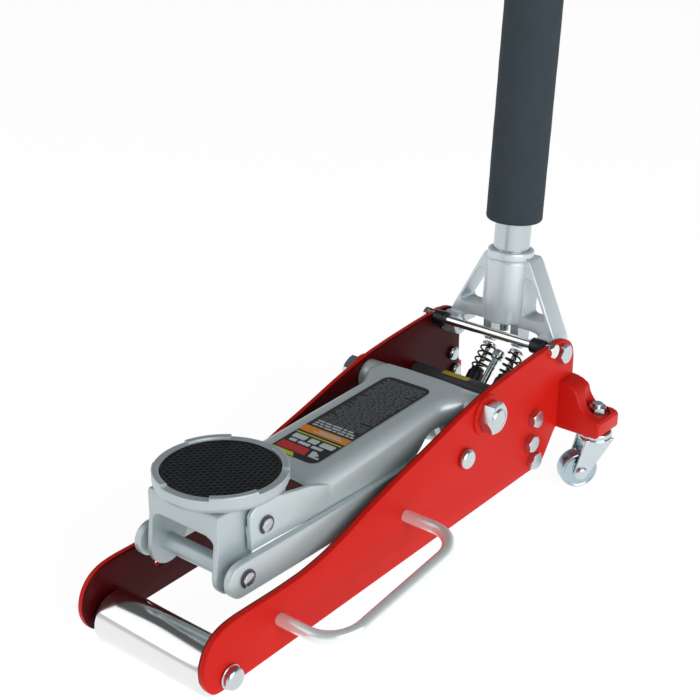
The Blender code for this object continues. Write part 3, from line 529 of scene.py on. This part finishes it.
# ---------------------------------------------------------------- parallel links and their rivets
for side, sign in SIDES:
    crankline = (arc((36, 83.4), 15, 90, 270, 24)
                 + [(200, 67.6), (232, 67.8), (248, 69.4), (270, 73.2), (290, 77)]
                 + arc(LINK_BACK, 14.5, -60, 90, 20) + [(276, 100.4), (250, 97.8), (232, 97), (210, 97)])
    link = bevel(make("l", prism(crankline, "x", *sorted((sign * 47, sign * 54))), "arm"), 1.3, 3, 50)
    join(link, rod((sign * 53, *LINK_BACK), (sign * 64.6, *LINK_BACK), 11, 48))
    cut(link, rod((sign * 40, *LINK_BACK), (sign * 70, *LINK_BACK), PIN_HOLE, 32))
    cut(link, rod((sign * 40, *HEAD_LOW), (sign * 70, *HEAD_LOW), PIN_HOLE, 32))
    add("vis_lower_link_" + side, link, "links", "lower_link_" + side, slot="arm")
    rivet = make("v", rod((sign * 44.2, *LINK_BACK), (sign * 73, *LINK_BACK), 6.0, 32), "fastener")
    join(rivet, turned(soften([(0, 0), (9.8, 0), (9.8, 4.4), (7.6, 6.6), (0, 7.4)], 1.0),
                       (sign * NUT_FACE, *LINK_BACK), (sign * 90, *LINK_BACK), 56))
    join(rivet, turned([(0, 0), (8.0, 0), (8.0, 1.5), (6.5, 2.5), (0, 2.5)], (sign * 46.7, *LINK_BACK),
                       (sign * 30, *LINK_BACK), 32))
    add("vis_link_rivet_" + side, rivet, "frame", "link_rivet_" + side, slot="fastener")

# ---------------------------------------------------------------- saddle head, pins and clips
outline = ([(26.5, 137.7), (25.5, 134), (25.5, 114), (23.5, 100)] + arc(HEAD_LOW, 19, 170, 325, 26) + [(63, 90)]
           + arc(HEAD_UP, 14, 250, 360, 18) + [(88, 120), (94, 123), (100, 125), (104, 129), (104, 137.7)])
head = bevel(make("h", prism(outline, "x", -39, 39), "casting"), 4.2, 5, 50)
cut(head, prism(rounded([(10, 40), (10, 117.5), (34, 118.5), (38, 121.5), (110, 121.5), (110, 40)], 1.5, 2),
                "x", -34, 34))
for sign in (-1, 1):
    corner = [(34.6, 118.6), (34.6, 109.8)] + arc((26.6, 109.8), 7.4, 0, 90, 10) + [(26.6, 118.6)]
    join(head, prism([(sign * x, z) for x, z in corner], "y", 25.6, 32.0))
join(head, rod((-35, *HEAD_LOW), (35, *HEAD_LOW), 8, 48))
cut(head, rod((0, SADDLE_Y, 119), (0, SADDLE_Y, 145), 14.9, 48))
for spot in (HEAD_UP, HEAD_LOW):
    cut(head, rod((-60, *spot), (60, *spot), PIN_HOLE, 32))
add("vis_saddle_head", head, "head", "saddle_head", slot="casting")
for label, spot, reach in (("upper", HEAD_UP, 49.2), ("lower", HEAD_LOW, 57.2)):
    wall = reach - 3.0
    pin = make("p", rod((-wall - 0.1, *spot), (reach, *spot), 6.0, 40, 1.2), "fastener")
    join(pin, turned(soften([(0, 0), (8.2, 0), (8.2, 1.4), (7, 2.4), (0, 2.4)], 0.5), (-wall - 0.1, *spot),
                     (-90, *spot), 40))
    cut(pin, turned([(4.9, 0), (8.5, 0), (8.5, 1.2), (4.9, 1.2)], (wall + 0.4, *spot), (90, *spot), 40))
    add("vis_head_pin_" + label, pin, "head", "head_pin_" + label, slot="fastener")
    clip = bevel(make("c", prism(arc(spot, 7.9, 300, 600, 48) + arc(spot, 5.2, 600, 300, 40), "x", wall + 0.55,
                                 wall + 1.45), "clip"), 0.2, 2, 50)
    add("vis_pin_clip_" + label, clip, "head", "pin_clip_" + label, slot="black_steel")

# ---------------------------------------------------------------- saddle and pad
seat, above = (0, SADDLE_Y, SADDLE_Z), (0, SADDLE_Y, 200)
cup = soften([(0, -14), (14.5, -14), (14.5, 0), (51, 0), (53.6, 1.6), (SADDLE_R, 5.5), (SADDLE_R, 14.7),
              (54.3, 15.5),
              (50.2, 15.5), (49.1, 14.4), (49.1, 5.7), (0, 5.7)], 0.9)
saddle = make("s", turned(cup, seat, above, 144), "casting")
for first in (-13, 77, 167, 257):
    notch = arc((0, SADDLE_Y), 60, first, first + 48, 16) + arc((0, SADDLE_Y), 48, first + 48, first, 16)
    cut(saddle, prism(notch, "z", SADDLE_Z + 12.9, SADDLE_Z + 20))
bevel(saddle, 0.45, 2, 50)
add("vis_saddle", saddle, "saddle", "saddle", slot="casting")

# the pad's top is pebbled with small rounded bumps, so it is a disc whose rings are lifted point by point
bm = bmesh.new()
rings, sectors = 96, 300
low = SADDLE_Z + 6


def pad_height(x, y):
    wave = 2 * math.pi / 4.6
    u, v = 0.966 * x + 0.259 * y, 0.966 * y - 0.259 * x
    bump = (math.cos(wave * u) + math.cos(wave * (0.866 * v - 0.5 * u))
            + math.cos(wave * (0.866 * v + 0.5 * u))) / 3
    return 6.45 + 0.75 * max(0.0, bump)


grid = []
for i in range(1, rings + 1):
    r = (PAD_R - 0.5) * i / rings
    grid.append([bm.verts.new(at(r * math.cos(a), SADDLE_Y + r * math.sin(a),
                                 low + (pad_height(r * math.cos(a),
                                                   r * math.sin(a)) if i < rings - 1 else 6.8)))
                 for a in [2 * math.pi * k / sectors for k in range(sectors)]])
for radius, z in ((PAD_R, 6.2), (PAD_R, 0.0), (PAD_R - 6, 0.0)):
    grid.append([bm.verts.new(at(radius * math.cos(a), SADDLE_Y + radius * math.sin(a), low + z))
                 for a in [2 * math.pi * k / sectors for k in range(sectors)]])
for a, b in zip(grid, grid[1:]):
    for k in range(sectors):
        j = (k + 1) % sectors
        bm.faces.new((a[k], a[j], b[j], b[k]))
centre, base = bm.verts.new(at(0, SADDLE_Y, low + pad_height(0, 0))), bm.verts.new(at(0, SADDLE_Y, low))
for k in range(sectors):
    bm.faces.new((centre, grid[0][(k + 1) % sectors], grid[0][k]))
    bm.faces.new((base, grid[-1][k], grid[-1][(k + 1) % sectors]))
add("vis_saddle_pad", make("p", bm, "rubber", 60), "saddle", "saddle_pad", slot="pad")

# ---------------------------------------------------------------- power unit
block = rounded([(402, 31), (402, 104), (406, 108), (417, 108), (453, 72), (455, 40), (447, 31)], 3, 2)
body = bevel(make("b", prism(block, "x", -64.7, 64.7), "pump"), 1.8, 3, 40)
cut(body, rod((0, 390, RAM_Z), (0, 447.5, RAM_Z), 12.4, 48))
for sign in (-1, 1):
    for spot in PUMP_BOLTS:
        cut(body, rod((sign * 70, *spot), (sign * 46, *spot), 5.3, 24))
    cut(body, rod((sign * PLUNGER_X, 438 - 20 * DIAG, 87 - 20 * DIAG), (sign * PLUNGER_X, 447, 96), 4.4, 28))


def on_rod(d):
    return (0, VALVE[0] + ROD_DIR[0] * d, VALVE[1] + ROD_DIR[1] * d)


cut(body, rod(on_rod(-6), on_rod(10), 4.8, 24))
add("vis_pump_body", body, "frame", "pump_body", slot="pump")
sticker = make("k", prism(rounded(bar(-30, 2, 407.2, 415.2), 1.5, 2), "z", 108.02, 108.18), "sticker")
add("pump_sticker", sticker, "frame")
barrel = soften([(12.4, 0), (19, 0), (21, 2), (21, 17.7), (12.4, 17.7)], 0.6)
add("vis_ram_cylinder", make("c", turned(barrel, (0, 384, RAM_Z), (0, 450, RAM_Z), 72), "fastener"), "frame",
    "ram_cylinder", slot="fastener")
push = crank[0] + 6.9
ram = make("r", rod((0, push + 6, RAM_Z), (0, 434, RAM_Z), 12.0, 64, 0.8), "chromed")
join(ram, turned(soften([(0, 0), (14.5, 0), (15, 0.8), (15, 7.5), (12, 8), (0, 8)], 0.4), (0, push, RAM_Z),
                 (0, 450, RAM_Z), 64))
add("vis_ram_rod", ram, "ram", "ram_rod", slot="chromed")

along_plunger = Vector((0, DIAG, DIAG))
for side, sign in SIDES:
    for i, spot in enumerate(PUMP_BOLTS):
        bolt = make("b", rod((sign * 48, *spot), (sign * 73, *spot), 5.0, 28), "fastener")
        join(bolt, hexagon((sign * NUT_FACE, *spot), (sign * 79, *spot), 9.0, 0.2 * i))
        add(f"vis_pump_bolt_{side}_{i + 1}", bolt, "frame", f"pump_bolt_{side}_{i + 1}", slot="fastener")
    face = Vector((sign * PLUNGER_X, *PLUNGER_FACE))
    tip = tuple(face + along_plunger * 10)
    gland = soften([(4.4, 0.2), (8.2, 0.2), (8.2, 15), (6.8, 17), (6.8, 20.5), (4.4, 20.5)], 0.5)
    add("vis_plunger_gland_" + side, make("g", turned(gland, tuple(face), tip, 56), "black"), "frame",
        "plunger_gland_" + side, slot="black_steel")
    stem = soften([(0, -3), (4.1, -3), (4.1, 25), (3.0, 26), (3.0, 46), (8.0, 46.4), (8.0, 48.2), (7.0, 49.2),
                   (0, 49.2)], 0.3)
    add("vis_plunger_" + side, make("p", turned(stem, tuple(face), tip, 56), "chromed"), "plunger_" + side,
        "plunger_" + side, slot="black_steel")
    across = Vector((0, -DIAG, DIAG))
    coil = []
    for k in range(3 * SPRING_STEPS + 19):
        turn = 2 * math.pi * k / SPRING_STEPS
        spot = face + along_plunger * (21.8 + 23.2 * k / 126)
        coil.append(tuple(spot + Vector((sign, 0, 0)) * SPRING_R * math.cos(turn)
                          + across * SPRING_R * math.sin(turn)))
    spring = make("s", tube_path(coil, WIRE_R, 16), "black", 60)
    spring.name = "vis_pump_spring_" + side
    add(spring.name, spring, "frame", "pump_spring_" + side, slot="black_steel")
    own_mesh(spring)

stem = make("t", rod(on_rod(-5), on_rod(36), 3.6, 32), "fastener")
join(stem, turned(soften([(0, 0), (5.0, 0), (6.0, 1), (6.0, 9), (5, 10), (0, 10)], 0.5), on_rod(34), on_rod(60),
                  48))
add("vis_release_rod", stem, "release_rod", "release_rod", slot="fastener")

# ---------------------------------------------------------------- tie rod and sleeves
tie = make("t", rod((-73, *TIE), (73, *TIE), 4.5, 40), "chromed")
for side, sign in SIDES:
    join(tie, hexagon((sign * NUT_FACE, *TIE), (sign * 77, *TIE), 7.6))
    sleeve = soften([(4.8, 0), (6.6, 0), (7.6, 1), (7.6, 14.4), (4.8, 14.4)], 0.5)
    add("vis_tie_sleeve_" + side,
        make("s", turned(sleeve, (sign * 50, *TIE), (sign * 90, *TIE), 48), "plastic"), "frame", "tie_sleeve_"
        + side, slot="sleeve")
add("vis_tie_rod", tie, "frame", "tie_rod", slot="chromed")

# ---------------------------------------------------------------- handle yoke
half = [(24, 221), (27, 218), (58, 158), (61.5, 151), (63.3, 147), (63.3, 139), (46.5, 139), (45, 146),
        (43, 148.6), (40, 150), (32, 151)]
yoke = bevel(make("y", prism(mirrored(half), "y", 463.5, 488.7, turn=lean), "yoke"), 2.2, 4, 25)
hub = soften([(0, 0), (20.5, 0), (22, 1.5), (22, 61.8), (21.2, 62.4), (21.2, 63.4), (22, 64), (22.8, 65),
              (22.8, 71.6), (21.6, 73), (0, 73)], 0.6)
join(yoke, turned(hub, on_handle(154), on_handle(240), 72))
for sign in (-1, 1):
    join(yoke, rod((sign * 46.5, *YOKE), (sign * 63.3, *YOKE), 11.3, 56, phase=0.25))
    window = rounded([(sign * x, z) for x,
                      z in ((23.5, 166), (26, 162.5), (48, 162.5), (50.5, 166.5), (31.5, 201), (27, 203.5),
                            (23.5, 200))], 2, 2)
    cut(yoke, prism(window, "y", 455, 495, turn=lean))
    profile = []
    for k in range(17):
        phi = 1.19 * k / 16
        out = CAM_START + CAM_R * phi
        toward = (-DIAG * (math.cos(phi) - math.sin(phi)), -DIAG * (math.cos(phi) + math.sin(phi)))
        profile.append((YOKE[0] + out * toward[0] - CAM_R * toward[1], YOKE[1] + out * toward[1]
                        + CAM_R * toward[0]))
    cam = [(465, 152), (465.2, 134)] + profile + [(485, 134), (487, 152)]
    join(yoke, prism(cam, "x", *sorted((sign * 11.5, sign * 20.5))))
    cut(yoke, rod((sign * 40, *YOKE), (sign * 70, *YOKE), PIN_HOLE, 32))
cut(yoke, rod(on_handle(168), on_handle(245), 18.1, 64))
cut(yoke, rod(on_handle(140), on_handle(170), 10.5, 40))
add("vis_handle_yoke", yoke, "yoke", "handle_yoke", slot="yoke")
for side, sign in SIDES:
    bolt = make("b", rod((sign * 47, *YOKE), (sign * 73, *YOKE), 6.0, 32), "fastener")
    join(bolt, hexagon((sign * NUT_FACE, *YOKE), (sign * 79.3, *YOKE), 10.0, 0.5))
    add("vis_yoke_bolt_" + side, bolt, "frame", "yoke_bolt_" + side, slot="fastener")

# ---------------------------------------------------------------- handle
up = on_handle(1000)
tube = [(0, 0), (4.5, 0), (4.5, 26), (16.5, 26.4), (17.7, 28), (17.7, 480), (15.6, 480), (15.6, 30), (0, 30)]
add("vis_handle_tube_lower", make("t", turned(soften(tube, 0.5), on_handle(142), up, 96), "tube"), "handle",
    "handle_tube_lower", slot="tube")
upper = [(13.2, 0), (15.2, 0), (15.2, 452), (14, 454), (0, 454), (0, 452), (13.2, 452)]
add("vis_handle_tube_upper", make("t", turned(soften(upper, 0.5), on_handle(545), up, 96), "tube"), "handle",
    "handle_tube_upper", slot="tube")
bm = bmesh.new()
shape = [(18.0, 4.2), (23, 4.2)]
shape += [(23 + 4.4 * math.sin(a), 8.6 - 4.4 * math.cos(a))
          for a in [math.radians(15 * k) for k in range(1, 7)]]
shape += [(27.4, 8.6 + 4 * k) for k in range(1, 71)]
shape += [(21 + 6.4 * math.cos(a), 293.6 + 6.4 * math.sin(a)) for a in [math.radians(15 * k) for k in range(7)]]
shape += [(18.0, 300)]
foam = make("f", turned(shape, on_handle(251), up, 112), "foam", 60)
for v in foam.data.vertices:
    wave = math.sin(v.co.z * 140 + 2.5 * math.atan2(v.co.y, v.co.x)) * math.sin(v.co.z * 63 + 1.3)
    axis_y = at(*on_handle(v.co.z / MM)).y
    v.co.x = -0.0075 + (v.co.x + 0.0075) * (1 - 0.004 * (1 + wave))
    v.co.y = axis_y + (v.co.y - axis_y) * (1 - 0.004 * (1 + wave))
add("vis_foam_sleeve", foam, "handle", "foam_sleeve", slot="foam")
grip = [(0, 129.5), (15.5, 129.5), (15.5, 0), (18.2, 0), (19, 1)]
for k in range(22):
    z = 6 + 5.2 * k
    grip += [(19, z), (18.4, z + 0.8), (18.4, z + 1.8), (19, z + 2.6)]
grip += [(19, 129), (17, 132), (0, 132)]
add("vis_handle_grip", make("g", turned(soften(grip, 0.3, 1), on_handle(870), up, 80), "grip"), "handle",
    "handle_grip", slot="grip")

# ---------------------------------------------------------------- carry handle
(y0, z0), (y1, z1) = CARRY_FEET
slope = (z1 - z0) / (y1 - y0)
corners = [((CARRY_REACH - CARRY_BEND, y0 + CARRY_BEND), -90, 0),
           ((CARRY_REACH - CARRY_BEND, y1 - CARRY_BEND), 0, 90)]
path = [(65.3, y0)] + [p for middle, first, last in corners
                       for p in arc(middle, CARRY_BEND, first, last, 28)] + [(65.3, y1)]
handle = make("c", tube_path([(x, y, z0 + slope * (y - y0)) for x, y in path], CARRY_R, 40), "rod", 60)
add("vis_carry_handle", handle, "frame", "carry_handle", slot="chromed")

# ---------------------------------------------------------------- caster brackets and casters
def spun(point, sign):
    """Turn a caster point about its swivel axis, mirrored for the right side."""
    x, y, z = point
    return (sign * (CASTER[0] + x * math.cos(CASTER_TURN) - y * math.sin(CASTER_TURN)),
            CASTER[1] + x * math.sin(CASTER_TURN) + y * math.cos(CASTER_TURN), z)


for side, sign in SIDES:
    cx, cy = sign * CASTER[0], CASTER[1]

    def place(point, sign=sign):
        return spun(point, sign)

    shape = [(70.2, 59.4), (116, 59.4), (119, 62.5), (119, 75), (117, 77.6), (110, 80), (103, 83.5), (98.5, 88),
             (95.5, 93.5), (93.5, 99), (90, 104.5), (84, 107.8), (78, 109.3), (70.2, 110)]
    bracket = bevel(make("b", prism([(sign * x, z) for x, z in shape], "y", 462, 501), "bracket"), 2.0, 4, 40)
    rear = [(487.5, 112), (487.5, 100), (489, 95.5), (494, 84), (497, 80), (502, 78), (512, 78), (512, 112)]
    cut(bracket, prism(rear, "x", *sorted((sign * 70, sign * 125))))
    cut(bracket, rod((cx, cy, 77), (cx, cy, 120), 12.5, 56))
    cut(bracket, rod((cx, cy, 50), (cx, cy, 90), 5.3, 28))
    for i, spot in enumerate(BRACKET_BOLTS):
        cut(bracket, rod((sign * 70, *spot), (sign * 86, *spot), 4.3, 24))
        bolt = make("o", rod((sign * 63.8, *spot), (sign * 84, *spot), 4.0, 24), "fastener")
        join(bolt, turned(soften([(0, 0), (7.4, 0), (7.4, 3), (5.5, 5.2), (0, 6)], 0.8), (sign * 64.7, *spot),
                          (sign * 50, *spot), 40))
        add(f"vis_bracket_bolt_{side}_{i + 1}", bolt, "frame", f"bracket_bolt_{side}_{i + 1}", slot="fastener")
    add("vis_caster_bracket_" + side, bracket, "frame", "caster_bracket_" + side, slot="plate")
    king = make("k", turned([(0, 0), (7.5, 0), (7.5, 2.4), (5.0, 2.6), (5.0, 43), (0, 43)], (cx, cy, 44.8),
                            (cx, cy, 100), 40), "fastener")
    join(king, hexagon((cx, cy, 77.3), (cx, cy, 85), 9.4))
    add("vis_caster_kingpin_" + side, king, "frame", "caster_kingpin_" + side, slot="fastener")
    centre = (-CASTER_TRAIL, WHEEL_R)
    race = soften([(0, 0), (16.5, 0), (16.5, 5.2), (15.0, 6.3), (16.2, 7.4), (15.6, 11.5), (0, 11.5)], 0.8)
    fork = make("f", turned(race, (cx, cy, 47.6), (cx, cy, 100), 72), "caster")
    for leg in (-1, 1):
        leaf = [(15, 53.2)] + arc(centre, 7.5, -25, -175, 16) + [(-16.5, 45), (-14.5, 53.2)]
        join(fork, prism(leaf, "x", *sorted((leg * 9.8, leg * 12.4)), turn=place), 0.4)
    cut(fork, prism([(-20, 40), (-20, 50.9), (20, 50.9), (20, 40)], "x", -9.3, 9.3, turn=place))
    cut(fork, rod((cx, cy, 40), (cx, cy, 60), 5.3, 32))
    cut(fork, rod(place((-20, *centre)), place((20, *centre)), 3.8, 28))
    add("vis_caster_fork_" + side, fork, "fork_" + side, "caster_fork_" + side, slot="caster")
    rim = soften([(3.8, 0), (8, 0), (9, 1.4), (WHEEL_R - 3.4, 1.4), (WHEEL_R - 2.2, 0.2), (WHEEL_R, 2.4),
                  (WHEEL_R, 14.4),
                  (WHEEL_R - 2.2, 16.6), (WHEEL_R - 3.4, 15.4), (9, 15.4), (8, 16.8), (3.8, 16.8)], 0.7)
    wheel = make("w", turned(rim, place((-8.4, *centre)), place((8.4, *centre)), 88), "wheel")
    add("vis_caster_wheel_" + side, wheel, "wheel_" + side, "caster_wheel_" + side, slot="caster")
    pin = make("p", rod(place((-13, *centre)), place((13, *centre)), 3.5, 24), "caster")
    for leg in (-1, 1):
        cap = soften([(0, 0), (6.2, 0), (6.2, 1.8), (4.4, 3.4), (0, 3.8)], 0.6)
        join(pin, turned(cap, place((leg * 12.7, *centre)), place((leg * 30, *centre)), 40))
    add("vis_caster_axle_" + side, pin, "fork_" + side, "caster_axle_" + side, slot="caster")

# ---------------------------------------------------------------- floor, light and camera
floor_mat = bpy.data.materials.new("pale_floor")
floor_mat.use_nodes = True
shader = floor_mat.node_tree.nodes["Principled BSDF"]
shader.inputs["Base Color"].default_value = (0.15, 0.15, 0.15, 1)
shader.inputs["Roughness"].default_value = 0.8
shader.inputs["Emission Color"].default_value = (1, 1, 1, 1)
shader.inputs["Emission Strength"].default_value = 0.94
shader.inputs["Specular IOR Level"].default_value = 0.0
bpy.ops.mesh.primitive_plane_add(size=40, location=(0, 0, -0.0004))
floor = bpy.context.object
floor.name = "studio_floor"
floor.data.materials.append(floor_mat)

world = bpy.data.worlds.new("studio")
bpy.context.scene.world = world
world.use_nodes = True
nodes, links = world.node_tree.nodes, world.node_tree.links
background = nodes["Background"]
coords = nodes.new("ShaderNodeTexCoord")
split = nodes.new("ShaderNodeSeparateXYZ")
links.new(coords.outputs["Generated"], split.inputs["Vector"])
ramp = nodes.new("ShaderNodeValToRGB")
links.new(split.outputs["Z"], ramp.inputs["Fac"])
ramp.color_ramp.elements[0].position, ramp.color_ramp.elements[0].color = 0.0, (0.85, 0.86, 0.87, 1)
ramp.color_ramp.elements[1].position, ramp.color_ramp.elements[1].color = 0.55, (0.10, 0.105, 0.11, 1)
links.new(ramp.outputs["Color"], background.inputs["Color"])
background.inputs["Strength"].default_value = 0.9


def softbox(name, spot, target, size, power):
    data = bpy.data.lights.new(name, "AREA")
    data.shape, data.size, data.size_y = "RECTANGLE", *size
    data.energy = power
    ob = bpy.data.objects.new(name, data)
    ob.location = spot
    ob.rotation_euler = (Vector(target) - Vector(spot)).to_track_quat("-Z", "Y").to_euler()
    bpy.context.scene.collection.objects.link(ob)


softbox("key", (2.5, -0.7, 1.3), (0.0, 0.0, 0.15), (2.4, 2.0), 50)
softbox("left", (-2.0, -1.9, 1.9), (0.0, -0.1, 0.1), (2.6, 2.6), 24)

lens = bpy.data.cameras.new("camera")
lens.lens, lens.sensor_width = 73.709, 36.0
camera = bpy.data.objects.new("camera", lens)
camera.location = (0.717835, -0.905981, 0.689448)
camera.rotation_euler = (math.radians(66.64), 0.0, math.radians(39.72))
bpy.context.scene.collection.objects.link(camera)
bpy.context.scene.camera = camera
bpy.context.scene.view_settings.view_transform = "Standard"
